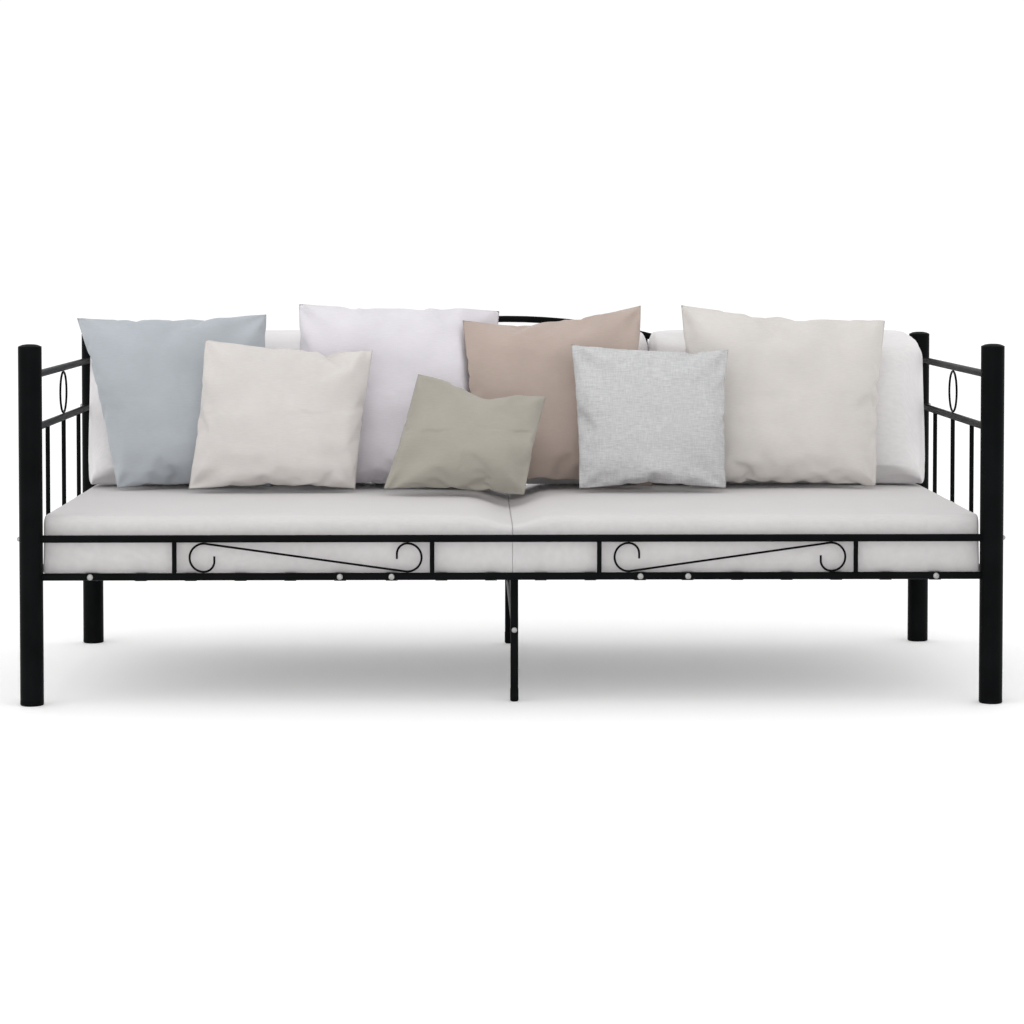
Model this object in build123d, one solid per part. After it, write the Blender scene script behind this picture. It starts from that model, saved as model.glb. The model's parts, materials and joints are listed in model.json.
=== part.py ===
from build123d import *
from math import asin, atan, cos, radians, sin, tan
import os

# Daybed with a steel tube frame, a two-part mattress, back cushions and loose pillows.
# Millimetres. X runs along the bed, -Y is the open front, +Z is up, and the floor is Z = 0.
os.makedirs("parts", exist_ok=True)

# Overall layout of the frame
POST_X = 1025.0            # centre of the posts from the middle of the length
POST_Y = 465.0             # centre of the posts from the middle of the depth
POST_D = 50.0
POST_WALL = 1.5
CAP_H = 9.0                # domed plastic cap on each post
FOOT_H = 12.0              # plastic foot under each post
POST_TOP = 770.0

# Tubes, rods and wires
RAIL_D = 16.0
RAIL_WALL = 1.2
BAR_D = 10.0
RING_WIRE = 5.0
SCROLL_WIRE = 4.6

# Heights of the rail centres
Z_BASE = 274.0             # rails that carry the slats
Z_GUARD = 355.0            # upper front rail
Z_MID = 588.0              # middle rail of the sides and the back
Z_TOP = 702.0              # top rail of the sides
Z_ARCH = 802.0             # crown of the back arch

# Front and back frames
RAIL_JOINT_X = 11.0        # where the two halves of a long rail meet
SPIGOT_L = 120.0
FRONT_SHIFT = 6.5          # the front bars and scrolls sit this far right of the posts' middle
GUARD_BAR_X = (178.5, 727.5)
BACK_BAR_X = (115.0, 345.0, 575.0, 805.0)
ARCH_R = 1490.0            # crown of the arch
ARCH_RUN = 700.0           # half the length of the curved part of the arch
RING_X = 850.0

# Front scrolls: the two loops of each S are point-symmetric
LOOP_H = 64.9              # over the wire, so that each loop meets both rails
HOOK_R = 22.5              # the loop closes in to this radius before its hook
HOOK_TIP = 3.0             # the hook ends this far above the middle of the loop
SCROLL_INSET = 27.5        # from the bar's centre to the wire at the loop's outer side
SCROLL_SHIFT = 5.0         # both scrolls sit this far right of the middle between their bars

# Slat panels
PANEL_X = (-634.0, 7.0, 640.0)
SLAT_PITCH = 106.2
SLATS_PER_PANEL = 6
SLAT_W = 25.0
SLAT_H = 15.0
SLAT_TOP = 279.0           # just under the top of the rails
SLAT_WALL = 1.5
SLAT_END_Y = 459.5         # the slats end inside the line of the upright bars
PANEL_BAR_Y = 300.0
PANEL_BAR_W = 20.0
PANEL_BAR_T = 4.0

# Centre legs
LEG_X = 4.0                # the saddles and legs sit a little to the right of the middle
LEG_D = 17.0
LEG_FOOT_RIM = 0.6
LEG_Y = 432.0              # leg centre from the middle of the depth
LEG_FOOT_H = 20.0
SADDLE_W = 58.0
SADDLE_T = 3.0
SADDLE_SIDE_H = 8.0
SADDLE_BEVEL = 5.0
STRETCHER_Z = 155.0
STRETCHER_D = 12.0

# Fasteners
SOCKET_HEAD_D = 13.0
SOCKET_HEAD_H = 3.5
POST_BOLT_D = 10.0
POST_BOLT_H = 5.0

# Soft goods
MATTRESS_Z = SLAT_TOP + 0.3
MATTRESS_TOP = 410.0
MATTRESS_X = 999.0
MATTRESS_Y = 450.0
MATTRESS_R = 14.0
LEAN = 10.0                # degrees that the cushions and pillows lean back
CUSHION_FRONT = 196.0      # Y of the cushions' front face at the mattress
CUSHION_T = 185.0
CUSHION_TOP = 786.0
PILLOW_GAP = 0.8
OVERLAP_X = (-112.0, -16.0)  # where the lilac pillow passes behind the taupe one: front, then back
BACK_ROW_T = 120.0
FRONT_ROW_T = 108.0
LIFT = 0.5                 # clearance above the mattress

AX_X = Vector(1, 0, 0)
AX_Y = Vector(0, 1, 0)
AX_Z = Vector(0, 0, 1)


def rod(start, end, diameter):
    """A solid round bar between two points."""
    a, b = Vector(*start), Vector(*end)
    place = Plane(origin=a, z_dir=(b - a).normalized())
    return extrude(place * Circle(diameter / 2), (b - a).length)


def tube(start, end, diameter, wall):
    """An open round tube between two points."""
    a, b = Vector(*start), Vector(*end)
    place = Plane(origin=a, z_dir=(b - a).normalized())
    ring = Circle(diameter / 2) - Circle(diameter / 2 - wall)
    return extrude(place * ring, (b - a).length)


def post_core(x, y):
    """The full cylinder of a post, used to cope the rails that meet it."""
    return rod((x, y, 0), (x, y, POST_TOP), POST_D)


def cross_core(y, z, length=2 * POST_X, diameter=RAIL_D):
    """The full cylinder of a long rail, used to cope the bars that meet it."""
    return rod((-length / 2, y, z), (length / 2, y, z), diameter)


def write(name, pieces):
    """Write one node: a solid, or a group of separate solids."""
    solids = []
    for piece in pieces if isinstance(pieces, list) else [pieces]:
        solids += piece.solids()
    shape = solids[0] if len(solids) == 1 else Compound(children=solids)
    export_step(shape, f"parts/{name}.step")


def cut(piece, *tools):
    for tool in tools:
        piece = piece - tool
    return piece


# ---------------------------------------------------------------- posts
def post(x, y):
    body = tube((x, y, FOOT_H), (x, y, POST_TOP - CAP_H), POST_D, POST_WALL)
    return body


def post_cap(x, y):
    """A domed cap with a thin rim and a plug inside the tube."""
    r = POST_D / 2
    base = POST_TOP - CAP_H
    plug_r = r - POST_WALL
    with BuildPart() as cap:
        with BuildSketch(Plane.XZ):
            with BuildLine():
                Polyline((0, base - 14), (plug_r, base - 14), (plug_r, base), (r, base), (r, base + 4))
                ThreePointArc((r, base + 4), (r * 0.7, base + 7.4), (r * 0.3, base + CAP_H))
                Polyline((r * 0.3, base + CAP_H), (0, base + CAP_H), (0, base - 14))
            make_face()
        revolve(axis=Axis.Z)
    return Pos(x, y, 0) * cap.part


def post_foot(x, y):
    """A moulded foot with a rounded lower edge and a plug inside the tube."""
    r = POST_D / 2
    plug_r = r - POST_WALL
    with BuildPart() as foot:
        with BuildSketch(Plane.XZ):
            with BuildLine():
                Polyline((0, 0), (r - 3, 0))
                RadiusArc((r - 3, 0), (r, 3), -3)
                Polyline((r, 3), (r, FOOT_H), (plug_r, FOOT_H), (plug_r, FOOT_H + 18), (0, FOOT_H + 18), (0, 0))
            make_face()
        revolve(axis=Axis.Z)
    return Pos(x, y, 0) * foot.part


def make_posts():
    corners = {"front_left": (-1, -1), "front_right": (1, -1), "rear_left": (-1, 1), "rear_right": (1, 1)}
    places = [(sx * POST_X, sy * POST_Y) for sx, sy in corners.values()]
    for name, (x, y) in zip(corners, places):
        write(f"{name}_post", post(x, y))
    write("post_caps", [post_cap(x, y) for x, y in places])
    write("post_feet", [post_foot(x, y) for x, y in places])


# ---------------------------------------------------------------- sides
def side_rail(x, z):
    rail = tube((x, -POST_Y, z), (x, POST_Y, z), RAIL_D, RAIL_WALL)
    return cut(rail, post_core(x, -POST_Y), post_core(x, POST_Y))


def side_bars(x):
    """Three upright bars between the lower rail and the middle rail."""
    lower = rod((x, -POST_Y, Z_BASE), (x, POST_Y, Z_BASE), RAIL_D)
    middle = rod((x, -POST_Y, Z_MID), (x, POST_Y, Z_MID), RAIL_D)
    bars = []
    for i in (-1, 0, 1):
        bar = rod((x, i * POST_Y / 2, Z_BASE), (x, i * POST_Y / 2, Z_MID), BAR_D)
        bars.append(cut(bar, lower, middle))
    return bars


def ring_between(z_low, z_high, place):
    """A wire ring that touches the rail below and the rail above."""
    gap = z_high - z_low - RAIL_D
    return place * Torus(gap / 2 - RING_WIRE / 2, RING_WIRE / 2)


def make_sides():
    for name, x in (("left", -POST_X), ("right", POST_X)):
        write(f"{name}_side_top_rail", side_rail(x, Z_TOP))
        write(f"{name}_side_mid_rail", side_rail(x, Z_MID))
        write(f"{name}_side_lower_rail", side_rail(x, Z_BASE))
        write(f"{name}_side_bars", side_bars(x))
        facing = Plane(origin=(x, 0, (Z_MID + Z_TOP) / 2), z_dir=AX_X)
        write(f"{name}_side_ring", ring_between(Z_MID, Z_TOP, facing))


# ---------------------------------------------------------------- front and back rails
def half_rail(side, y, z):
    """One half of a long rail, from its post to the joint near the middle."""
    x = side * POST_X
    rail = tube((x, y, z), (RAIL_JOINT_X, y, z), RAIL_D, RAIL_WALL)
    return cut(rail, post_core(x, y))


def spigot(y, z):
    """The short inner tube that joins two rail halves."""
    x = RAIL_JOINT_X
    outer = RAIL_D - 2 * RAIL_WALL
    return tube((x - SPIGOT_L / 2, y, z), (x + SPIGOT_L / 2, y, z), outer, RAIL_WALL)


def guard_bars(y):
    lower, upper = cross_core(y, Z_BASE), cross_core(y, Z_GUARD)
    bars = []
    for x in [FRONT_SHIFT + side * value for value in GUARD_BAR_X for side in (-1, 1)]:
        bars.append(cut(rod((x, y, Z_BASE), (x, y, Z_GUARD), BAR_D), lower, upper))
    return bars


def scroll_path():
    """The S of the left panel about its middle: two loops joined by their inner tangent."""
    inner, outer = GUARD_BAR_X
    r = (LOOP_H - SCROLL_WIRE) / 2
    centre = (outer - inner) / 2 - SCROLL_INSET - r
    slope = asin(r / centre)
    leave = Vector(r * sin(slope) - centre, r * cos(slope))
    low = Vector(-centre, -r)
    bend = Vector(HOOK_R * cos(radians(45)) - centre, HOOK_R * (1 - sin(radians(45))) - r)
    hook = Vector(HOOK_R - centre, HOOK_R - r)
    tip = Vector(HOOK_R - centre, HOOK_TIP)
    flip = [-point for point in (leave, low, bend, hook, tip)]
    with BuildLine() as path:
        Line(tip, hook)
        ThreePointArc(hook, bend, low)
        ThreePointArc(low, (-centre - r, 0), leave)
        Line(leave, flip[0])
        ThreePointArc(flip[0], (centre + r, 0), flip[1])
        ThreePointArc(flip[1], flip[2], flip[3])
        Line(flip[3], flip[4])
    return Plane(origin=(0, 0, 0), x_dir=(1, 0, 0), z_dir=(0, -1, 0)) * path.line


def scroll(side):
    """One S-shaped wire between the guard bars of one half of the front."""
    path = scroll_path()
    start = Plane(origin=path @ 0, z_dir=path % 0)
    wire = sweep(start * Circle(SCROLL_WIRE / 2), path=path)
    middle = (GUARD_BAR_X[0] + GUARD_BAR_X[1]) / 2
    wire = Pos(-middle, -POST_Y, (Z_BASE + Z_GUARD) / 2) * wire
    if side > 0:
        wire = mirror(wire, about=Plane.YZ)
    return Pos(FRONT_SHIFT + SCROLL_SHIFT, 0, 0) * wire


def make_front():
    for name, side in (("left", -1), ("right", 1)):
        write(f"front_guard_rail_{name}", half_rail(side, -POST_Y, Z_GUARD))
        write(f"front_base_rail_{name}", half_rail(side, -POST_Y, Z_BASE))
        write(f"{name}_scroll", scroll(side))
    write("front_guard_bars", guard_bars(-POST_Y))


def arch_path():
    """Level ends, two reverse bends and a crown, all tangent."""
    rise = Z_ARCH - Z_TOP
    turn = 2 * atan(rise / ARCH_RUN)
    foot_r = rise / (1 - cos(turn)) - ARCH_R
    knee = (ARCH_R * sin(turn), Z_ARCH - ARCH_R * (1 - cos(turn)))
    half = turn / 2
    crown_mid = (ARCH_R * sin(half), Z_ARCH - ARCH_R * (1 - cos(half)))
    foot_mid = (ARCH_RUN - foot_r * sin(half), Z_TOP + foot_r * (1 - cos(half)))
    return knee, crown_mid, foot_mid


def arch_solid(diameter):
    knee, _, foot_mid = arch_path()
    with BuildPart() as arch:
        with BuildLine(Plane(origin=(0, POST_Y, 0), x_dir=(1, 0, 0), z_dir=(0, -1, 0))) as path:
            Line((-POST_X, Z_TOP), (-ARCH_RUN, Z_TOP))
            ThreePointArc((-ARCH_RUN, Z_TOP), (-foot_mid[0], foot_mid[1]), (-knee[0], knee[1]))
            ThreePointArc((-knee[0], knee[1]), (0, Z_ARCH), knee)
            ThreePointArc(knee, foot_mid, (ARCH_RUN, Z_TOP))
            Line((ARCH_RUN, Z_TOP), (POST_X, Z_TOP))
        with BuildSketch(Plane(origin=path.line @ 0, z_dir=path.line % 0)):
            Circle(diameter / 2)
        sweep()
    return arch.part


def back_upper_bars(core):
    """Upright rods from the middle rail to the arch, in line with the lower ones."""
    middle = cross_core(POST_Y, Z_MID)
    bars = []
    for x in [side * value for value in BACK_BAR_X[:2] for side in (-1, 1)]:
        bar = rod((x, POST_Y, Z_MID), (x, POST_Y, Z_ARCH), BAR_D) - middle - core
        bars.append(min(bar.solids(), key=lambda s: s.center().Z))
    return bars


def back_lower_bars():
    lower, middle = cross_core(POST_Y, Z_BASE), cross_core(POST_Y, Z_MID)
    bars = []
    for x in [side * value for value in BACK_BAR_X for side in (-1, 1)]:
        bars.append(cut(rod((x, POST_Y, Z_BASE), (x, POST_Y, Z_MID), BAR_D), lower, middle))
    return bars


def make_back():
    ends = [post_core(-POST_X, POST_Y), post_core(POST_X, POST_Y)]
    core = arch_solid(RAIL_D)
    write("back_arch_rail", cut(core, arch_solid(RAIL_D - 2 * RAIL_WALL), *ends))
    middle = tube((-POST_X, POST_Y, Z_MID), (POST_X, POST_Y, Z_MID), RAIL_D, RAIL_WALL)
    write("back_mid_rail", cut(middle, *ends))
    for name, side in (("left", -1), ("right", 1)):
        write(f"back_base_rail_{name}", half_rail(side, POST_Y, Z_BASE))
    write("back_upper_bars", back_upper_bars(core))
    write("back_lower_bars", back_lower_bars())
    rings = []
    for side in (-1, 1):
        facing = Plane(origin=(side * RING_X, POST_Y, (Z_MID + Z_TOP) / 2), z_dir=AX_Y)
        rings.append(ring_between(Z_MID, Z_TOP, facing))
    write("back_rings", rings)
    joints = [(-POST_Y, Z_GUARD), (-POST_Y, Z_BASE), (POST_Y, Z_BASE)]
    write("rail_spigots", [spigot(y, z) for y, z in joints])


# ---------------------------------------------------------------- slat panels
def slat(x):
    """A flat steel tube that spans from the front rail to the back rail."""
    section = Rectangle(SLAT_W, SLAT_H) - Rectangle(SLAT_W - 2 * SLAT_WALL, SLAT_H - 2 * SLAT_WALL)
    place = Plane(origin=(x, SLAT_END_Y, SLAT_TOP - SLAT_H / 2), x_dir=(1, 0, 0), z_dir=(0, -1, 0))
    body = extrude(place * section, 2 * SLAT_END_Y)
    return cut(body, cross_core(-POST_Y, Z_BASE), cross_core(POST_Y, Z_BASE))


def panel_bars(middle):
    """Two flat bars under the slats, which hold a panel together."""
    length = SLAT_PITCH * (SLATS_PER_PANEL - 1) + SLAT_W
    top = SLAT_TOP - SLAT_H
    bars = []
    for y in (-PANEL_BAR_Y, PANEL_BAR_Y):
        bar = Box(length, PANEL_BAR_W, PANEL_BAR_T)
        bars.append(Pos(middle, y, top - PANEL_BAR_T / 2) * bar)
    return bars


def slat_xs(panel):
    first = PANEL_X[panel] - (SLATS_PER_PANEL - 1) / 2 * SLAT_PITCH
    return [first + i * SLAT_PITCH for i in range(SLATS_PER_PANEL)]


def make_slats():
    for panel, name in enumerate(("left", "middle", "right")):
        xs = slat_xs(panel)
        write(f"{name}_slats", [slat(x) for x in xs])
        write(f"{name}_slat_bars", panel_bars((xs[0] + xs[-1]) / 2))


# ---------------------------------------------------------------- centre legs
def saddle(side):
    """A plate under the rail joint with bevelled corners and a tail that carries the leg."""
    under = Z_BASE - RAIL_D / 2
    half_w = SADDLE_W / 2
    tail = POST_Y - LEG_Y + LEG_D / 2 + 3
    outline = Polygon(
        (-half_w, SADDLE_SIDE_H), (half_w, SADDLE_SIDE_H), (half_w, 0), (half_w - SADDLE_BEVEL, -SADDLE_T),
        (SADDLE_BEVEL - half_w, -SADDLE_T), (-half_w, 0), align=None,
    )
    start = Plane(origin=(LEG_X, tail - POST_Y, under), x_dir=(1, 0, 0), z_dir=(0, -1, 0))
    block = extrude(start * outline, RAIL_D / 2 + tail)
    pocket_l = tail - RAIL_D / 2
    pocket = Box(SADDLE_W - 2 * SADDLE_T, pocket_l, 2 * SADDLE_SIDE_H)
    pocket = Pos(LEG_X, tail - POST_Y - pocket_l / 2 + SADDLE_T, under + SADDLE_SIDE_H) * pocket
    above = Pos(LEG_X, -POST_Y, Z_BASE + RAIL_D / 2) * Box(SADDLE_W, RAIL_D, RAIL_D)
    plate = cut(block, pocket, above, cross_core(-POST_Y, Z_BASE))
    return plate if side < 0 else mirror(plate, about=Plane.XZ)


def stretcher():
    """The bar that ties the two centre legs together."""
    reach = LEG_Y + LEG_D / 2
    return rod((LEG_X, -reach, STRETCHER_Z), (LEG_X, reach, STRETCHER_Z), STRETCHER_D)


def centre_leg(side):
    top = Z_BASE - RAIL_D / 2 - SADDLE_T
    y = side * LEG_Y
    leg = tube((LEG_X, y, LEG_FOOT_H), (LEG_X, y, top), LEG_D, RAIL_WALL)
    return cut(leg, stretcher())


def leg_foot(side):
    r = LEG_D / 2 + LEG_FOOT_RIM
    with BuildPart() as foot:
        with BuildSketch(Plane.XZ):
            with BuildLine():
                Polyline((0, 0), (r - 4, 0))
                RadiusArc((r - 4, 0), (r, 4), -4)
                Polyline((r, 4), (r, LEG_FOOT_H + 8), (LEG_D / 2, LEG_FOOT_H + 8), (LEG_D / 2, LEG_FOOT_H))
                Polyline((LEG_D / 2, LEG_FOOT_H), (0, LEG_FOOT_H), (0, 0))
            make_face()
        revolve(axis=Axis.Z)
    return Pos(LEG_X, side * LEG_Y, 0) * foot.part


def make_legs():
    for name, side in (("front", -1), ("back", 1)):
        write(f"{name}_leg_saddle", saddle(side))
        write(f"{name}_centre_leg", centre_leg(side))
    write("leg_feet", [leg_foot(side) for side in (-1, 1)])
    write("leg_stretcher", stretcher())


# ---------------------------------------------------------------- fasteners
def button_bolt(at, out, diameter=SOCKET_HEAD_D, height=SOCKET_HEAD_H, socket=6.0):
    """A domed button head with a hexagon socket, seated on a flat at the given point."""
    radius = diameter / 2
    with BuildPart() as head:
        with BuildSketch(Plane.XZ):
            with BuildLine():
                Polyline((0, -2.0), (radius, -2.0), (radius, height * 0.35))
                ThreePointArc((radius, height * 0.35), (radius * 0.75, height * 0.82), (radius * 0.42, height))
                Polyline((radius * 0.42, height), (0, height), (0, -2.0))
            make_face()
        revolve(axis=Axis.Z)
        with BuildSketch(Plane.XY.offset(height)):
            RegularPolygon(socket / 2, 6)
        extrude(amount=-height * 0.6, mode=Mode.SUBTRACT)
    return Plane(origin=at, z_dir=out) * head.part


def slat_bolts():
    """Bolts through the rails into the end slats of every panel."""
    bolts = []
    for side in (-1, 1):
        for panel in range(3):
            xs = slat_xs(panel)
            for x in (xs[0], xs[-1]):
                head = button_bolt((x, side * (POST_Y + RAIL_D / 2 - 0.6), Z_BASE), (0, side, 0))
                bolts.append(head - cross_core(side * POST_Y, Z_BASE))
    return bolts


def post_bolts():
    """Bolts through the posts into the ends of the long rails."""
    bolts = []
    for sx in (-1, 1):
        for y, z in ((-POST_Y, Z_GUARD), (POST_Y, Z_MID)):
            at = (sx * (POST_X + POST_D / 2 - 0.4), y, z)
            head = button_bolt(at, (sx, 0, 0), POST_BOLT_D, POST_BOLT_H, 4.0)
            bolts.append(head - post_core(sx * POST_X, y))
    return bolts


def stretcher_bolts():
    bolts = []
    for side in (-1, 1):
        at = (LEG_X, side * (LEG_Y + LEG_D / 2), STRETCHER_Z)
        head = button_bolt(at, (0, side, 0), 12.0, 3.2, 5.0)
        leg = rod((LEG_X, side * LEG_Y, 0), (LEG_X, side * LEG_Y, Z_BASE), LEG_D)
        bolts.append(cut(head, leg, stretcher()))
    return bolts


def make_fasteners():
    write("slat_bolts", slat_bolts())
    write("post_bolts", post_bolts())
    write("stretcher_bolts", stretcher_bolts())


# ---------------------------------------------------------------- soft goods
def mattress_pad(side):
    x_in = 0.3
    length = MATTRESS_X - x_in
    height = MATTRESS_TOP - MATTRESS_Z
    pad = Box(length, 2 * MATTRESS_Y, height)
    pad = fillet(pad.edges(), MATTRESS_R)
    return Pos(side * (x_in + length / 2), 0, (MATTRESS_TOP + MATTRESS_Z) / 2) * pad


def leaning(y_front, x_low, x_high, top, thickness, radius, lean=LEAN):
    """A cushion that leans back and is flat where it stands on the mattress."""
    floor = MATTRESS_TOP + LIFT
    run = (top - floor) * tan(radians(lean))
    across = thickness / cos(radians(lean))
    profile = Polygon(
        (y_front, floor), (y_front + across, floor), (y_front + across + run, top), (y_front + run, top),
        align=None,
    )
    place = Plane(origin=(x_low, 0, 0), x_dir=(0, 1, 0), z_dir=(1, 0, 0))
    body = extrude(place * profile, x_high - x_low)
    return fillet(body.edges(), radius)


def pillow(y_front, corners, thickness, radius, lean=LEAN):
    """A pillow leaning back: four corners as X and slant height, with rounded edges."""
    floor = MATTRESS_TOP + LIFT
    forward = Vector(0, -cos(radians(lean)), sin(radians(lean)))
    middle = y_front + thickness / 2 / cos(radians(lean))
    face = Plane(origin=(0, middle, floor), x_dir=(1, 0, 0), z_dir=forward)
    body = extrude(face * Polygon(*corners, align=None), thickness / 2, both=True)
    body = fillet(body.edges(), radius)
    return body - Pos(0, y_front, floor - 100) * Box(3000, 900, 200)


CUSHIONS = {"left": (-1007.0, -333.0), "middle": (-331.0, 341.0), "right": (343.0, 1007.0)}

# Each pillow: row, then the corners from lower left, clockwise, as X and slant height
PILLOWS = {
    "blue_grey": ("back", [(-915, 2), (-1008, 404), (-594, 416), (-560, 2)]),
    "lilac": ("back", [(-500, 4), (-498, 442), (-20, 430), (-40, 4)]),
    "taupe": ("back", [(-98, 2), (-108, 392), (316, 436), (340, 2)]),
    "beige": ("back", [(424, 2), (414, 438), (898, 399), (868, 2)]),
    "cream": ("front", [(-742, 8), (-706, 357), (-322, 334), (-352, 8)]),
    "linen": ("front", [(162, 8), (145, 346), (512, 334), (503, 8)]),
    "sage": ("loose", [(-288, 14), (-211, 288), (85, 232), (32, 0)]),
}


def overlap_wedge(y_front, thickness, keep_left):
    """The space in front of or behind the slanted face where two neighbouring pillows overlap."""
    depth = thickness / cos(radians(LEAN))
    front_x, back_x = OVERLAP_X
    gap = PILLOW_GAP / 2 if keep_left else -PILLOW_GAP / 2
    far = 1000 if keep_left else -1000
    floor = MATTRESS_TOP
    outline = Polygon(
        (front_x - gap, y_front - 1), (back_x - gap, y_front + depth + 1), (far, y_front + depth + 1),
        (far, y_front - 1), align=None,
    )
    rise = 600.0
    up = Vector(0, sin(radians(LEAN)), cos(radians(LEAN)))
    return extrude(Pos(0, 0, floor) * outline, rise, dir=up)


def make_soft():
    for name, side in (("left", -1), ("right", 1)):
        write(f"{name}_mattress_pad", mattress_pad(side))
    for name, (low, high) in CUSHIONS.items():
        write(f"{name}_back_cushion", leaning(CUSHION_FRONT, low, high, CUSHION_TOP, CUSHION_T, 26))
    slant = cos(radians(LEAN))
    back_front = CUSHION_FRONT - PILLOW_GAP - BACK_ROW_T / slant
    front_front = back_front - PILLOW_GAP - FRONT_ROW_T / slant
    for name, (row, corners) in PILLOWS.items():
        if row == "back":
            body = pillow(back_front, corners, BACK_ROW_T, 42)
            if name in ("lilac", "taupe"):
                body -= overlap_wedge(back_front, BACK_ROW_T, name == "lilac")
        elif row == "front":
            body = pillow(front_front, corners, FRONT_ROW_T, 38)
        else:
            body = pillow(-108.0, corners, 100.0, 34, 17.0)
        write(f"{name}_pillow", body)


make_posts()
make_sides()
make_front()
make_back()
make_slats()
make_legs()
make_fasteners()
make_soft()
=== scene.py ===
import json
import math
import random

import bmesh
import bpy
from mathutils import Matrix, Vector, noise


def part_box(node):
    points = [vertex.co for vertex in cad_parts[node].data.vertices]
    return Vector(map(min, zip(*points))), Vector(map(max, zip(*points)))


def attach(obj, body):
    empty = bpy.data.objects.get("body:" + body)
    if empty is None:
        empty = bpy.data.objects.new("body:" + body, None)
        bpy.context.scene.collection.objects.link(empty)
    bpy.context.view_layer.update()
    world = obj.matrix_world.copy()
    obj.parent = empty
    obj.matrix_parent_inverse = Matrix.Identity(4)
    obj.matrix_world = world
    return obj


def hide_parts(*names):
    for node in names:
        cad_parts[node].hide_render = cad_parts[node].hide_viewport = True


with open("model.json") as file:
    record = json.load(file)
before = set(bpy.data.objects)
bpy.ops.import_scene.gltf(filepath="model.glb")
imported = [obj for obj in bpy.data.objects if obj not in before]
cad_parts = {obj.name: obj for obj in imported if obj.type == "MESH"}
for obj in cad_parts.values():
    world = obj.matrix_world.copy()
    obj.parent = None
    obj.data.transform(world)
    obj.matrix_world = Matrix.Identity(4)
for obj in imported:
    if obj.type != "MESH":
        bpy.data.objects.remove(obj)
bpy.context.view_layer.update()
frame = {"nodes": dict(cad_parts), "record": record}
NODES = frame["nodes"]
SCENE = bpy.context.scene

# ---------------------------------------------------------------- driving values, in metres and degrees
LEAN = math.radians(10.0)          # the cushions and pillows lean back by this much
SAGE_LEAN = math.radians(17.0)
SEAT_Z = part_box("left_mattress_pad")[1].z
REST_GAP = 0.0008                  # soft pieces end this far above the mattress

# ---------------------------------------------------------------- camera, floor and light
LENS = 93.66
SENSOR = 36.0
CAMERA_AT = Vector((-0.093, -6.131, 0.953))
CAMERA_PITCH = math.radians(2.16)
CAMERA_YAW = math.radians(0.925)
CAMERA_SHIFT_Y = -0.15


def make_camera():
    data = bpy.data.cameras.new("camera")
    data.lens = LENS
    data.sensor_width = SENSOR
    data.shift_y = CAMERA_SHIFT_Y
    data.dof.use_dof = False
    data.clip_end = 60
    cam = bpy.data.objects.new("camera", data)
    SCENE.collection.objects.link(cam)
    cam.location = CAMERA_AT
    cam.rotation_euler = (math.pi / 2 - CAMERA_PITCH, 0, -CAMERA_YAW)
    SCENE.camera = cam


def area_light(name, at, target, size, power, colour=(1, 1, 1)):
    data = bpy.data.lights.new(name, "AREA")
    data.shape = "RECTANGLE"
    data.size, data.size_y = size
    data.energy = power
    data.color = colour
    light = bpy.data.objects.new(name, data)
    SCENE.collection.objects.link(light)
    light.location = at
    light.rotation_euler = (Vector(target) - Vector(at)).to_track_quat("-Z", "Y").to_euler()


def make_studio():
    world = bpy.data.worlds.new("studio")
    world.use_nodes = True
    sky = world.node_tree.nodes["Background"]
    sky.inputs["Color"].default_value = (1.0, 1.0, 1.0, 1)
    sky.inputs["Strength"].default_value = 1.04
    SCENE.world = world
    area_light("top_light", (-0.4, -1.2, 4.2), (0, 0, 0.4), (4.5, 3.0), 14.0)
    area_light("left_light", (-4.6, -3.2, 2.6), (0, 0, 0.5), (1.6, 3.0), 14.0)
    area_light("front_light", (-1.4, -6.8, 1.3), (0, 0, 0.4), (5.0, 2.4), 34.0)
    SCENE.view_settings.view_transform = "Standard"
    SCENE.view_settings.look = "None"

    size = 30.0
    mesh = bpy.data.meshes.new("floor")
    corners = [(-size, -size, 0), (size, -size, 0), (size, size, 0), (-size, size, 0)]
    mesh.from_pydata(corners, [], [(0, 1, 2, 3)])
    floor = bpy.data.objects.new("floor", mesh)
    SCENE.collection.objects.link(floor)
    material = new_material("pale_floor_painted_glow", (0.95, 0.95, 0.95), roughness=0.9)
    shader = material.node_tree.nodes["Principled BSDF"]
    shader.inputs["Specular IOR Level"].default_value = 0.1
    # painted light: the floor glows a little, which lifts the shadow under the bed and lights the undersides
    # from below
    shader.inputs["Emission Color"].default_value = (1.0, 1.0, 1.0, 1)
    shader.inputs["Emission Strength"].default_value = 0.12
    floor.data.materials.append(material)


# ---------------------------------------------------------------- materials
def new_material(name, colour, roughness=0.5, metallic=0.0):
    material = bpy.data.materials.new(name)
    material.use_nodes = True
    shader = material.node_tree.nodes["Principled BSDF"]
    shader.inputs["Base Color"].default_value = (*colour, 1)
    shader.inputs["Roughness"].default_value = roughness
    shader.inputs["Metallic"].default_value = metallic
    return material


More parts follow.
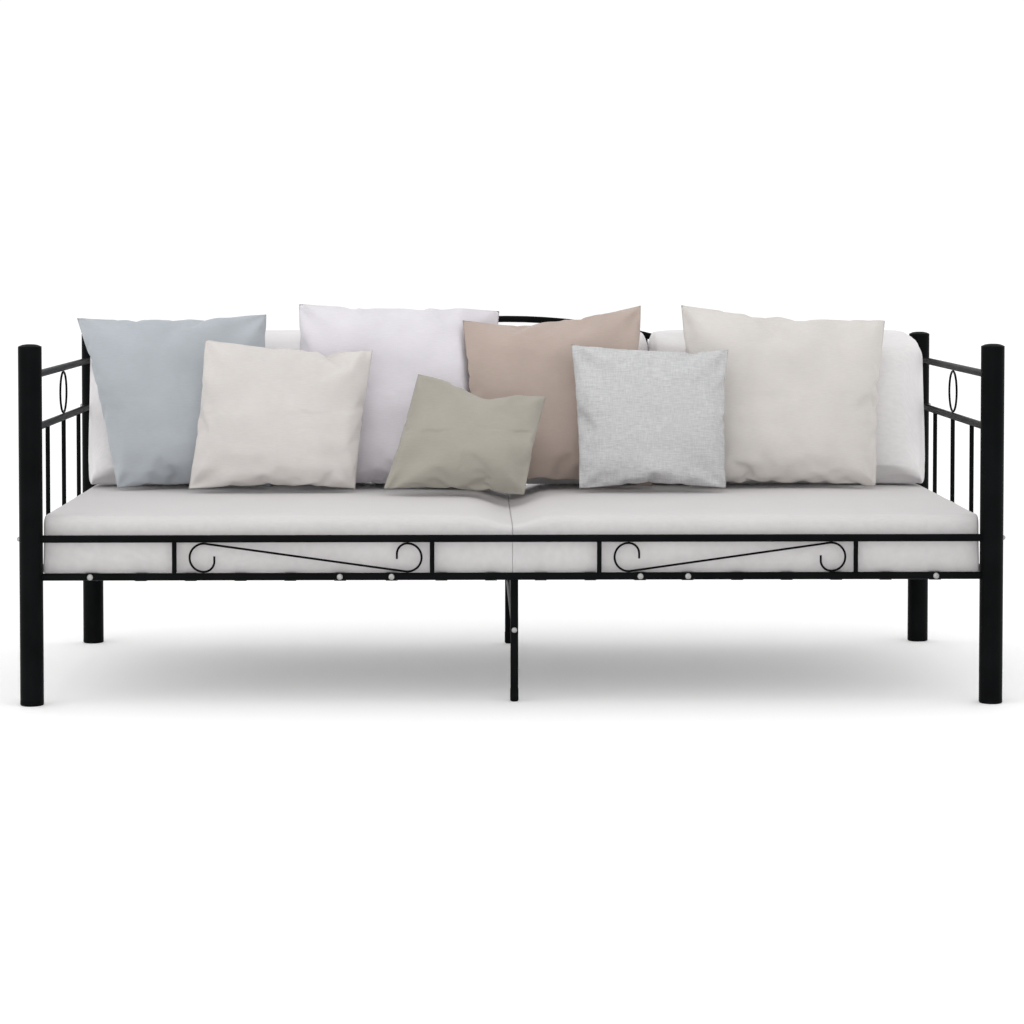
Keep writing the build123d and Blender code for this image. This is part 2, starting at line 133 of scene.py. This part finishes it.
class Graph:
    """Short names for building a material's node tree."""

    def __init__(self, material):
        self.tree = material.node_tree
        self.shader = self.tree.nodes["Principled BSDF"]
        self.coords = self.tree.nodes.new("ShaderNodeTexCoord").outputs["Object"]

    def node(self, kind, **values):
        made = self.tree.nodes.new("ShaderNode" + kind)
        for key, value in values.items():
            setattr(made, key, value)
        return made

    def link(self, out, socket):
        self.tree.links.new(out, socket)

    def stretched(self, scale):
        mapping = self.node("Mapping")
        mapping.inputs["Scale"].default_value = scale
        self.link(self.coords, mapping.inputs["Vector"])
        return mapping.outputs["Vector"]

    def noise(self, scale, detail=3.0, rough=0.5, vector=None):
        made = self.node("TexNoise")
        made.inputs["Scale"].default_value = scale
        made.inputs["Detail"].default_value = detail
        made.inputs["Roughness"].default_value = rough
        self.link(vector or self.coords, made.inputs["Vector"])
        return made.outputs["Fac"]

    def wave(self, scale, direction, distortion=0.6, detail_scale=4.0):
        made = self.node("TexWave", bands_direction=direction)
        made.inputs["Scale"].default_value = scale
        made.inputs["Distortion"].default_value = distortion
        made.inputs["Detail"].default_value = 1.0
        made.inputs["Detail Scale"].default_value = detail_scale
        self.link(self.coords, made.inputs["Vector"])
        return made.outputs["Fac"]

    def math(self, operation, a, b):
        made = self.node("Math", operation=operation)
        for socket, value in zip(made.inputs, (a, b)):
            if isinstance(value, (int, float)):
                socket.default_value = value
            else:
                self.link(value, socket)
        return made.outputs[0]

    def ramp(self, fac, stops):
        made = self.node("ValToRGB")
        elements = made.color_ramp.elements
        while len(elements) < len(stops):
            elements.new(0.5)
        for element, (position, colour) in zip(elements, stops):
            element.position = position
            element.color = (*colour, 1)
        self.link(fac, made.inputs["Fac"])
        return made.outputs["Color"]

    def blend(self, fac, a, b, mode="MIX"):
        made = self.node("Mix", data_type="RGBA", blend_type=mode)
        for socket, value in ((made.inputs[0], fac), (made.inputs[6], a), (made.inputs[7], b)):
            if isinstance(value, (int, float)):
                socket.default_value = value
            elif isinstance(value, tuple):
                socket.default_value = (*value, 1)
            else:
                self.link(value, socket)
        return made.outputs[2]

    def bump(self, height, strength, distance):
        made = self.node("Bump")
        made.inputs["Strength"].default_value = strength
        made.inputs["Distance"].default_value = distance
        self.link(height, made.inputs["Height"])
        self.link(made.outputs["Normal"], self.shader.inputs["Normal"])


WHITE = (1.0, 1.0, 1.0)


def shaded(colour, factor):
    return tuple(channel * factor for channel in colour)


COAT_IOR = 1.09                    # a low index keeps the black frame black at a grazing angle


def powder_coat(name, colour):
    """Satin black powder coat: a fine orange-peel surface, a little uneven in gloss."""
    material = new_material(name, colour, roughness=0.36)
    graph = Graph(material)
    cloud = graph.noise(14.0, 4.0)
    graph.link(graph.ramp(cloud, [(0.3, shaded(colour, 0.8)), (0.7, shaded(colour, 1.35))]),
               graph.shader.inputs["Base Color"])
    speckle = graph.noise(900.0, 2.0)
    level = graph.math("ADD", graph.math("MULTIPLY", cloud, 0.12), 0.27)
    gloss = graph.math("ADD", level, graph.math("MULTIPLY", speckle, 0.06))
    graph.link(gloss, graph.shader.inputs["Roughness"])
    graph.bump(speckle, 0.12, 0.0004)
    graph.shader.inputs["Specular IOR Level"].default_value = 0.5
    graph.shader.inputs["IOR"].default_value = COAT_IOR
    return material


def moulded_plastic(name, colour):
    material = new_material(name, colour, roughness=0.5)
    graph = Graph(material)
    grain = graph.noise(1400.0, 2.0)
    graph.link(graph.ramp(graph.noise(30.0), [(0.3, shaded(colour, 0.85)), (0.7, shaded(colour, 1.25))]),
               graph.shader.inputs["Base Color"])
    graph.link(graph.math("ADD", graph.math("MULTIPLY", grain, 0.1), 0.42), graph.shader.inputs["Roughness"])
    graph.bump(grain, 0.2, 0.0003)
    graph.shader.inputs["Specular IOR Level"].default_value = 0.5
    graph.shader.inputs["IOR"].default_value = COAT_IOR
    return material


def zinc_plate(name, colour):
    material = new_material(name, colour, roughness=0.3, metallic=1.0)
    graph = Graph(material)
    stain = graph.noise(260.0, 4.0)
    graph.link(graph.ramp(stain, [(0.25, shaded(colour, 0.75)), (0.75, shaded(colour, 1.1))]),
               graph.shader.inputs["Base Color"])
    graph.link(graph.math("ADD", graph.math("MULTIPLY", stain, 0.25), 0.2), graph.shader.inputs["Roughness"])
    graph.bump(graph.noise(1600.0), 0.08, 0.0003)
    return material


def cotton(name, colour, sheen=0.25, thread=900.0, tint=0.05, depth=1.0):
    """Plain-woven cotton: a fine warp and weft, soft colour drift and a light nap."""
    material = new_material(name, colour, roughness=0.85)
    graph = Graph(material)
    warp = graph.wave(thread, "X")
    weft = graph.wave(thread, "Y")
    weave = graph.math("ADD", graph.math("MULTIPLY", warp, 0.5), graph.math("MULTIPLY", weft, 0.5))
    slub = graph.noise(1.0, 3.0, vector=graph.stretched((60.0, 700.0, 60.0)))
    drift = graph.noise(7.0, 3.0)
    base = graph.ramp(drift, [(0.3, shaded(colour, 1 - tint)), (0.7, shaded(colour, 1 + tint))])
    low, high = shaded(WHITE, 1 - 0.07 * depth), shaded(WHITE, 1 + 0.03 * depth)
    threads = graph.ramp(weave, [(0.0, low), (1.0, high)])
    cloth = graph.blend(1.0, base, threads, "MULTIPLY")
    streaks = graph.ramp(slub, [(0.35, (0.97, 0.97, 0.97)), (0.65, (1.02, 1.02, 1.02))])
    graph.link(graph.blend(1.0, cloth, streaks, "MULTIPLY"), graph.shader.inputs["Base Color"])
    graph.link(graph.math("ADD", graph.math("MULTIPLY", slub, 0.15), 0.76), graph.shader.inputs["Roughness"])
    graph.bump(graph.math("ADD", weave, slub), 0.22 * depth, 0.0005)
    graph.shader.inputs["Sheen Weight"].default_value = sheen
    graph.shader.inputs["Sheen Roughness"].default_value = 0.5
    graph.shader.inputs["Specular IOR Level"].default_value = 0.2
    return material


def linen(name, colour):
    """Melange linen: uneven threads both ways, in lighter and darker yarn."""
    material = new_material(name, colour, roughness=0.9)
    graph = Graph(material)
    across = graph.noise(1.0, 4.0, 0.6, graph.stretched((45.0, 620.0, 45.0)))
    upward = graph.noise(1.0, 4.0, 0.6, graph.stretched((620.0, 45.0, 45.0)))
    fleck = graph.noise(1.0, 2.0, 0.5, graph.stretched((110.0, 420.0, 110.0)))
    dark, light = shaded(colour, 0.8), shaded(colour, 1.1)
    weft = graph.ramp(across, [(0.38, dark), (0.62, light)])
    warp = graph.ramp(upward, [(0.38, dark), (0.62, light)])
    cloth = graph.blend(0.42, weft, warp)
    marks = graph.ramp(fleck, [(0.60, (1.0, 1.0, 1.0)), (0.74, (0.84, 0.84, 0.85))])
    graph.link(graph.blend(1.0, cloth, marks, "MULTIPLY"), graph.shader.inputs["Base Color"])
    graph.link(graph.math("ADD", graph.math("MULTIPLY", across, 0.14), 0.8), graph.shader.inputs["Roughness"])
    graph.bump(graph.math("ADD", across, upward), 0.45, 0.0012)
    graph.shader.inputs["Sheen Weight"].default_value = 0.15
    graph.shader.inputs["Specular IOR Level"].default_value = 0.15
    return material


def cover_knit(name, colour):
    """The mattress cover: a close knit with a faint cloudy drift."""
    return cotton(name, colour, sheen=0.15, thread=700.0, tint=0.02, depth=0.3)


MATERIALS = {}


def make_materials():
    MATERIALS["frame_black"] = powder_coat("frame_black_coat", (0.0038, 0.0042, 0.0045))
    MATERIALS["black_plastic"] = moulded_plastic("black_moulded_plastic", (0.0042, 0.0046, 0.0048))
    MATERIALS["zinc_steel"] = zinc_plate("bright_zinc", (0.40, 0.40, 0.39))
    MATERIALS["mattress_cover"] = cover_knit("mattress_cover_knit", (0.600, 0.580, 0.581))
    MATERIALS["white_cotton"] = cotton("white_cotton_cloth", (0.770, 0.750, 0.754))
    MATERIALS["blue_grey_fabric"] = cotton("blue_grey_cloth", (0.425, 0.455, 0.485))
    MATERIALS["cream_fabric"] = cotton("cream_cloth", (0.640, 0.608, 0.585))
    MATERIALS["lilac_fabric"] = cotton("lilac_cloth", (0.700, 0.675, 0.715))
    MATERIALS["sage_fabric"] = cotton("sage_cloth", (0.366, 0.346, 0.300))
    MATERIALS["taupe_fabric"] = cotton("taupe_cloth", (0.460, 0.375, 0.330))
    MATERIALS["linen_fabric"] = linen("grey_linen_cloth", (0.555, 0.556, 0.562))
    MATERIALS["beige_fabric"] = cotton("beige_cloth", (0.640, 0.610, 0.580))


def paint_nodes():
    for row in frame["record"]["subparts"]:
        node = NODES[row["node"]]
        node.data.materials.clear()
        node.data.materials.append(MATERIALS[row["material_slot"]])


# ---------------------------------------------------------------- mesh helpers
def new_piece(name, verts, faces, slot, body, replaced, place=Matrix.Identity(4)):
    """A smooth mesh piece in its fabric, riding on its body in place of its CAD node."""
    mesh = bpy.data.meshes.new(name)
    mesh.from_pydata([tuple(v) for v in verts], [], faces)
    mesh.update()
    mesh.shade_smooth()
    piece = bpy.data.objects.new(name, mesh)
    SCENE.collection.objects.link(piece)
    piece.matrix_world = place
    mesh.materials.append(MATERIALS[slot])
    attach(piece, body)
    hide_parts(*replaced)
    return piece


def refine(verts, faces, levels=1, creases=()):
    """Catmull-Clark subdivision of a plain mesh, with sharp edges kept, as new lists."""
    mesh = bpy.data.meshes.new("refine")
    mesh.from_pydata([tuple(v) for v in verts], [], faces)
    if creases:
        wanted = {frozenset(edge) for edge in creases}
        attribute = mesh.attributes.new("crease_edge", "FLOAT", "EDGE")
        for edge in mesh.edges:
            attribute.data[edge.index].value = 1.0 if frozenset(edge.vertices) in wanted else 0.0
    temp = bpy.data.objects.new("refine", mesh)
    SCENE.collection.objects.link(temp)
    modifier = temp.modifiers.new("subdivision", "SUBSURF")
    modifier.levels = levels
    done = temp.evaluated_get(bpy.context.evaluated_depsgraph_get()).to_mesh()
    result = [v.co.copy() for v in done.vertices], [tuple(p.vertices) for p in done.polygons]
    bpy.data.objects.remove(temp)
    bpy.data.meshes.remove(mesh)
    return result


def smoothstep(low, high, value):
    t = min(max((value - low) / (high - low), 0.0), 1.0)
    return t * t * (3 - 2 * t)


def cloth_inflate(verts, faces, frames, pressure, stiffness, bending):
    """Blow a closed cover up with the Cloth simulator and return its new points."""
    mesh = bpy.data.meshes.new("cover")
    mesh.from_pydata([tuple(v) for v in verts], [], faces)
    cover = bpy.data.objects.new("cover", mesh)
    SCENE.collection.objects.link(cover)
    cloth = cover.modifiers.new("cloth", "CLOTH")
    settings = cloth.settings
    settings.quality = 6
    settings.mass = 0.25
    settings.tension_stiffness = stiffness
    settings.compression_stiffness = stiffness
    settings.shear_stiffness = stiffness * 0.5
    settings.bending_stiffness = bending
    settings.tension_damping = 15
    settings.compression_damping = 15
    settings.air_damping = 2.0
    settings.use_pressure = True
    settings.uniform_pressure_force = pressure
    settings.effector_weights.gravity = 0.0
    cloth.collision_settings.use_collision = False
    cloth.point_cache.frame_start = 1
    cloth.point_cache.frame_end = frames
    for step in range(1, frames + 1):
        SCENE.frame_set(step)
    done = cover.evaluated_get(bpy.context.evaluated_depsgraph_get()).to_mesh()
    points = [v.co.copy() for v in done.vertices]
    SCENE.frame_set(1)
    bpy.data.objects.remove(cover)
    bpy.data.meshes.remove(mesh)
    return points


# ---------------------------------------------------------------- pillows
PILLOW_CELLS = 40
SEWN_BULGE = 0.012                     # half the thickness of the flat cover before it is blown up
PILLOW_FRAMES = 26
PILLOW_PRESSURE, PILLOW_STIFFNESS, PILLOW_BENDING = 5.0, 22.0, 0.6
TOP_THINNING = 0.14                    # a pillow is this share thinner at its top than at its bottom
FULLNESS, CLEAR = 0.985, 0.99          # shares of the half thickness: the body's, and the most it may reach
WEDGE_GAP = 0.0008                     # between the lilac and taupe pillows and the slanted face
PUCKER, PUCKER_REACH = 0.0070, 0.035   # short folds that run in from the seams
FOLD, FOLD_REACH = 0.0065, 0.11        # folds that fan out of the corners
CREASE = 0.0065                        # long soft creases across the face
SAG = 0.0060                           # flat folds where the pillow rests


def sewn_sheets(width, height, cells):
    """Two square grids that share their outer points: the front is +Z. Returns points, faces and the seam."""
    index, verts = {}, []
    for layer in (1, -1):
        for j in range(cells + 1):
            for i in range(cells + 1):
                rim = i in (0, cells) or j in (0, cells)
                if rim and layer < 0:
                    index[layer, i, j] = index[1, i, j]
                    continue
                u, v = i / cells, j / cells
                bulge = (math.sin(math.pi * u) * math.sin(math.pi * v)) ** 0.6
                index[layer, i, j] = len(verts)
                verts.append(Vector(((u - 0.5) * width, (v - 0.5) * height, layer * SEWN_BULGE * bulge)))
    faces = []
    for layer in (1, -1):
        for j in range(cells):
            for i in range(cells):
                quad = [index[layer, a, b] for a, b in ((i, j), (i + 1, j), (i + 1, j + 1), (i, j + 1))]
                faces.append(tuple(quad if layer > 0 else quad[::-1]))
    around = [(i, 0) for i in range(cells)] + [(cells, j) for j in range(cells)]
    around += [(i, cells) for i in range(cells, 0, -1)] + [(0, j) for j in range(cells, 0, -1)]
    rim = [index[1, i, j] for i, j in around]
    seam = [(a, b) for a, b in zip(rim, rim[1:] + rim[:1])]
    corners = [index[1, i, j] for i, j in ((0, 0), (0, cells), (cells, cells), (cells, 0))]
    return verts, faces, seam, corners, index


def fit_corners(points, corners, targets, half_thickness):
    """Warp a pillow so that its corners land on the targets and its thickness is right."""
    ends = [points[i] for i in corners]
    left, right = (ends[0].x + ends[1].x) / 2, (ends[2].x + ends[3].x) / 2
    bottom, top = (ends[0].y + ends[3].y) / 2, (ends[1].y + ends[2].y) / 2
    deepest = max(abs(p.z) for p in points)
    out = []
    for p in points:
        flat = across(targets, (p.x - left) / (right - left), (p.y - bottom) / (top - bottom))
        out.append(Vector((flat.x, flat.y, p.z / deepest * half_thickness)))
    return out


def across(targets, u, v):
    """The point at u, v between four corners, from lower left, clockwise."""
    low = targets[0].lerp(targets[3], u)
    high = targets[1].lerp(targets[2], u)
    return low.lerp(high, v)


def straighten(points, index, cells, targets, hollow):
    """Fill the pillow's sides out, so that only part of their hollow is left."""
    sides = {}
    for name, where in (("low", lambda k: (k, 0)), ("high", lambda k: (k, cells)),
                        ("left", lambda k: (0, k)), ("right", lambda k: (cells, k))):
        pulls = []
        for k in range(cells + 1):
            i, j = where(k)
            wanted = across(targets, i / cells, j / cells)
            here = points[index[1, i, j]]
            pulls.append(Vector((wanted.x - here.x, wanted.y - here.y)) * (1 - hollow))
        soft = []
        for k in range(cells + 1):
            reach = min(2, k, cells - k)
            near = pulls[k - reach:k + reach + 1]
            soft.append(sum(near, Vector((0, 0))) / len(near))
        sides[name] = soft
    out = list(points)
    for (_, i, j), number in index.items():
        u, v = i / cells, j / cells
        shift = sides["low"][i] * (1 - v) + sides["high"][i] * v
        shift += sides["left"][j] * (1 - u) + sides["right"][j] * u
        p = points[number]
        out[number] = Vector((p.x + shift.x, p.y + shift.y, p.z))
    return out


def wrinkles(u, v, width, height, seed):
    """How far a cover stands off its smooth shape: seam puckers, corner folds, soft creases and sag."""
    side, end = min(u, 1 - u) * width, min(v, 1 - v) * height
    pucker = math.exp(-side / PUCKER_REACH) * noise.noise(Vector((seed, v * height * 24, 1.0)))
    pucker += math.exp(-end / PUCKER_REACH) * noise.noise(Vector((seed, u * width * 24, 9.0)))
    away = math.hypot(side, end)
    corner = (u > 0.5) * 2 + (v > 0.5)
    fold = math.sin(math.atan2(end, side) * 7 + corner * 2.1 + seed) * math.exp(-away / FOLD_REACH)
    fold *= smoothstep(0.0, 0.04, away)
    crease = noise.noise(Vector((u * width * 5 + seed, v * height * 11, seed)))
    sag = noise.noise(Vector((u * width * 7, v * height * 34, seed))) * math.exp(-v * height / 0.07)
    return pucker * PUCKER + fold * FOLD + crease * CREASE + sag * SAG


def squeeze(x, z, half, wedge):
    """Slide a point's depth into the part of the slab that its slanted neighbour leaves free."""
    front_x, back_x, keep_left = wedge
    limit = half - 2 * half * min(max((x - front_x) / (back_x - front_x), 0.0), 1.0)
    if keep_left:
        return -half + (z + half) * (limit + half) / (2 * half) - WEDGE_GAP
    return half - (half - z) * (half - limit) / (2 * half) + WEDGE_GAP


def pillow(name, slot, corners, lean, front_y, thickness, seed, hollow, wedge=None, dents=()):
    """A knife-edged pillow. Its corners are X and slant height, from lower left, clockwise."""
    targets = [Vector((x, h)) for x, h in corners]
    width = ((targets[3] - targets[0]).length + (targets[2] - targets[1]).length) / 2
    height = ((targets[1] - targets[0]).length + (targets[2] - targets[3]).length) / 2
    verts, faces, seam, corner_ids, index = sewn_sheets(width, height, PILLOW_CELLS)
    rng = random.Random(seed)
    offset = Vector((rng.uniform(-50, 50), rng.uniform(-50, 50), rng.uniform(-50, 50)))
    for k, p in enumerate(verts):
        ripple = noise.noise((p + offset) * 22.0) * 0.004
        verts[k] = Vector((p.x, p.y, p.z + ripple))
    points = cloth_inflate(
        verts, faces, PILLOW_FRAMES, PILLOW_PRESSURE, PILLOW_STIFFNESS, PILLOW_BENDING)
    half = thickness / 2
    points = fit_corners(points, corner_ids, targets, half)
    points = straighten(points, index, PILLOW_CELLS, targets, hollow)
    points, faces = refine(points, faces, 1, seam)
    low_h, high_h = min(t.y for t in targets), max(t.y for t in targets)
    mid_x = sum(t.x for t in targets) / 4
    up = Vector((0, math.sin(lean), math.cos(lean)))
    out_front = Vector((0, -math.cos(lean), math.sin(lean)))
    centre = Vector((mid_x, front_y + half / math.cos(lean), SEAT_Z))
    place = Matrix((
        (1, 0, 0, centre.x),
        (0, up.y, out_front.y, centre.y),
        (0, up.z, out_front.z, centre.z),
        (0, 0, 0, 1),
    ))
    to_local = place.inverted()
    shaped = []
    for p in points:
        rise = (p.y - low_h) / (high_h - low_h)
        q = Vector((p.x - mid_x, p.y, p.z * (1.0 - TOP_THINNING * rise) * FULLNESS))
        for (dent_x, dent_h), (wide, tall), depth in dents:
            pull = math.exp(-((p.x - dent_x) / wide) ** 2 - ((p.y - dent_h) / tall) ** 2)
            q.y -= depth * pull
            q.z *= 1 - 0.3 * pull
        left_x = targets[0].x + (targets[1].x - targets[0].x) * rise
        right_x = targets[3].x + (targets[2].x - targets[3].x) * rise
        across_u = min(max((p.x - left_x) / (right_x - left_x), 0.0), 1.0)
        q.z += wrinkles(across_u, min(max(rise, 0.0), 1.0), width, height, seed * 1.7)
        q.z += noise.noise((p + offset) * 34.0) * 0.0006
        q.z = min(max(q.z, -half * CLEAR), half * CLEAR)
        if wedge:
            q.z = squeeze(p.x, q.z, half, wedge)
        w = place @ q
        if w.z < SEAT_Z + REST_GAP:
            w.z = SEAT_Z + REST_GAP
            q = to_local @ w
        shaped.append(q)
    return new_piece(name, shaped, faces, slot, name + "_pillow", [name + "_pillow"], place)


# Each pillow: row, share of its sides' hollow that is left, and its corners in metres
PILLOWS = {
    "blue_grey": ("back", 0.30, [(-0.920, 0.002), (-1.024, 0.406), (-0.574, 0.416), (-0.560, 0.004)]),
    "lilac": ("back", 0.20, [(-0.500, 0.006), (-0.498, 0.442), (-0.020, 0.430), (-0.040, 0.006)]),
    "taupe": ("back", 0.45, [(-0.098, 0.004), (-0.108, 0.392), (0.316, 0.436), (0.340, 0.004)]),
    "beige": ("back", 0.25, [(0.424, 0.004), (0.414, 0.438), (0.898, 0.399), (0.868, 0.004)]),
    "cream": ("front", 0.28, [(-0.742, 0.010), (-0.706, 0.357), (-0.322, 0.334), (-0.352, 0.010)]),
    "linen": ("front", 0.35, [(0.162, 0.010), (0.145, 0.346), (0.512, 0.334), (0.503, 0.010)]),
    "sage": ("loose", 0.35, [(-0.288, 0.016), (-0.211, 0.288), (0.085, 0.232), (0.032, 0.002)]),
}
# Each row: where its front meets the mattress, its thickness and its lean
ROWS = {
    "back": (0.0734, 0.120, LEAN),
    "front": (-0.0371, 0.108, LEAN),
    "loose": (-0.108, 0.100, SAGE_LEAN),
}
OVERLAP = (-0.112, -0.016)         # where the lilac pillow passes behind the taupe one
SAGE_DENTS = [((-0.052, 0.262), (0.060, 0.050), 0.024)]   # place, width and height, depth


def make_pillows():
    for seed, (name, (row, hollow, corners)) in enumerate(PILLOWS.items()):
        front_y, thickness, lean = ROWS[row]
        wedge = (*OVERLAP, name == "lilac") if name in ("lilac", "taupe") else None
        dents = SAGE_DENTS if name == "sage" else ()
        pillow(name, name + "_fabric", corners, lean, front_y, thickness, 100 + seed, hollow, wedge, dents)


# ---------------------------------------------------------------- cushions and mattress
def stations(length, edge, step):
    """Places along a side about its middle, close together within an edge's width of the ends."""
    half = length / 2
    near = [half - edge * k / 4 for k in range(5)]
    count = max(2, round((length - 2 * edge) / step))
    inner = [-(half - edge) + (length - 2 * edge) * k / count for k in range(1, count)]
    return [-n for n in near] + inner + near[::-1]


def rounded_box(size, radii, low_radii, step, crown):
    """A box of quads with round edges and crowned faces, as points and faces about the origin."""
    grid = bmesh.new()
    rows = [stations(length, radius, step) for length, radius in zip(size, radii)]
    index = {}

    def vertex(key):
        if key not in index:
            index[key] = grid.verts.new([rows[a][key[a]] for a in range(3)])
        return index[key]

    for axis in range(3):
        a, b = [other for other in range(3) if other != axis]
        for end in (0, len(rows[axis]) - 1):
            for i in range(len(rows[a]) - 1):
                for j in range(len(rows[b]) - 1):
                    quad = []
                    for da, db in ((0, 0), (1, 0), (1, 1), (0, 1)):
                        key = [0, 0, 0]
                        key[axis], key[a], key[b] = end, i + da, j + db
                        quad.append(vertex(tuple(key)))
                    grid.faces.new(quad)
    bmesh.ops.recalc_face_normals(grid, faces=grid.faces)
    points = []
    for v in grid.verts:
        unit = [2 * c / s for c, s in zip(v.co, size)]
        rise = smoothstep(-0.8, 0.4, unit[2])
        edge = [low + (high - low) * rise for low, high in zip(low_radii, radii)]
        inner = Vector([math.copysign(min(abs(c), s / 2 - r), c) for c, s, r in zip(v.co, size, edge)])
        away = Vector([(c - i) / r for c, i, r in zip(v.co, inner, edge)]).normalized()
        core = inner + Vector([a * r for a, r in zip(away, edge)])
        for axis in range(3):
            others = [unit[other] for other in range(3) if other != axis]
            swell = (1 - abs(others[0]) ** 3) * (1 - abs(others[1]) ** 3)
            core[axis] += math.copysign(crown[axis] * max(swell, 0.0), unit[axis]) * abs(unit[axis]) ** 4
        points.append(core)
    grid.verts.index_update()
    faces = [tuple(corner.index for corner in f.verts) for f in grid.faces]
    grid.free()
    return points, faces


def capped(before, after, cap):
    """Where the simulated points went, but no further than the cap."""
    out = []
    for a, b in zip(before, after):
        move = b - a
        out.append(a + move.normalized() * min(move.length, cap) if move.length > 0 else a.copy())
    return out


NOTCH_DEPTH, NOTCH_REACH = 0.022, 0.11   # the pads fall away to each other in the middle
END_SWELL, JOINT_SWELL = 0.0035, 0.003   # the pads fill out at the posts and against each other
PAD_CROWN = (0.0, 0.002, 0.006)
PAD_EDGES, PAD_LOW_EDGES = (0.006, 0.014, 0.024), (0.004, 0.003, 0.002)
PAD_STEP = 0.045


def mattress_pad(name, seed):
    """One half of the mattress: a crowned pad that falls away to the other half in the middle."""
    low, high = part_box(name)
    crown = PAD_CROWN
    size = [high[a] - low[a] - 2 * crown[a] for a in range(3)]
    points, faces = rounded_box(size, PAD_EDGES, PAD_LOW_EDGES, PAD_STEP, crown)
    centre = (low + high) / 2
    points, faces = refine(points, faces, 1)
    offset = Vector((seed * 7.1, seed * 3.3, 0))
    side = 1 if centre.x < 0 else -1
    inner_x = size[0] / 2
    shaped = []
    for p in points:
        q = p.copy()
        if p.z > 0:
            wave = noise.noise((p + offset) * 2.6) * 0.0026 + noise.noise((p + offset) * 8.0) * 0.0010
            notch = NOTCH_DEPTH * (1 - smoothstep(0.0, NOTCH_REACH, inner_x - side * p.x)) ** 1.5
            q.z -= (abs(wave) + notch) * p.z / (size[2] / 2)
        q.x -= side * END_SWELL * smoothstep(inner_x - 0.08, inner_x, -side * p.x)
        q.x += side * JOINT_SWELL * smoothstep(inner_x - 0.03, inner_x, side * p.x)
        q.x = side * min(side * q.x, inner_x)
        front = smoothstep(0.30, 0.46, -p.y)
        q.y += abs(noise.noise((p + offset) * 6.0)) * 0.0022 * front
        floor = -size[2] / 2 - crown[2] + 0.0002
        if q.z < floor + 0.02:
            q.z = max(floor, q.z - crown[2])
        shaped.append(q)
    return new_piece(name + "_cover", shaped, faces, "mattress_cover", "mattress", [name],
                     Matrix.Translation(centre))


SHOULDER = 0.026                       # how far the outer top corners of the end cushions drop
CUSHION_DEPTH = 0.185
CUSHION_SWELL = (0.003, 0.012, 0.010)  # room left for the simulation to fill
CUSHION_EDGES, CUSHION_LOW_EDGES = (0.016, 0.044, 0.040), (0.008, 0.030, 0.012)
CUSHION_CROWN = (0.002, 0.006, 0.004)
CUSHION_STEP, CUSHION_FRAMES, CUSHION_CAP = 0.040, 16, 0.014
CUSHION_PRESSURE, CUSHION_STIFFNESS, CUSHION_BENDING = 3.0, 20.0, 0.8


def back_cushion(node, seed, outer):
    """A thick box cushion that leans back and stands flat on the mattress."""
    low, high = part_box(node)
    depth = CUSHION_DEPTH / math.cos(LEAN)
    extents = (high.x - low.x, depth, high.z - low.z)
    size = [extent - 2 * s for extent, s in zip(extents, CUSHION_SWELL)]
    points, faces = rounded_box(size, CUSHION_EDGES, CUSHION_LOW_EDGES, CUSHION_STEP, CUSHION_CROWN)
    blown = cloth_inflate(
        points, faces, CUSHION_FRAMES, CUSHION_PRESSURE, CUSHION_STIFFNESS, CUSHION_BENDING)
    points = capped(points, blown, CUSHION_CAP)
    points, faces = refine(points, faces, 1)
    offset = Vector((seed * 5.7, 0, seed * 2.9))
    floor = -(high.z - low.z) / 2
    centre = Vector(((low.x + high.x) / 2, low.y + depth / 2, (low.z + high.z) / 2))
    limit = Vector(((high.x - low.x) / 2, depth / 2, (high.z - low.z) / 2)) * 0.998
    shaped = []
    for p in points:
        wave = abs(noise.noise((p + offset) * 5.0)) * 0.004 + abs(noise.noise((p + offset) * 14.0)) * 0.0012
        q = Vector([min(max(c, -m), m) for c, m in zip(p, limit)])
        q.y -= math.copysign(wave * smoothstep(0.02, 0.08, abs(p.y)), p.y)
        q.z -= wave * smoothstep(0.5, 1.0, p.z / limit.z)
        shoulder = smoothstep(limit.x - 0.06, limit.x, outer * p.x) ** 2
        q.z -= shoulder * SHOULDER * smoothstep(0.3, 1.0, p.z / limit.z)
        if q.z < floor + 0.03:
            q.z = max(floor, q.z - (floor + 0.03 - q.z) * 0.6)
        q.y += (q.z - floor) * math.tan(LEAN)
        shaped.append(q)
    return new_piece(node + "_cover", shaped, faces, "white_cotton", node, [node],
                     Matrix.Translation(centre))


# ---------------------------------------------------------------- build
make_camera()
make_studio()
make_materials()
paint_nodes()
for seed, pad in enumerate(("left_mattress_pad", "right_mattress_pad")):
    mattress_pad(pad, seed + 1)
for seed, (side, outer) in enumerate((("left", -1), ("middle", 0), ("right", 1))):
    back_cushion(side + "_back_cushion", seed + 1, outer)
make_pillows()
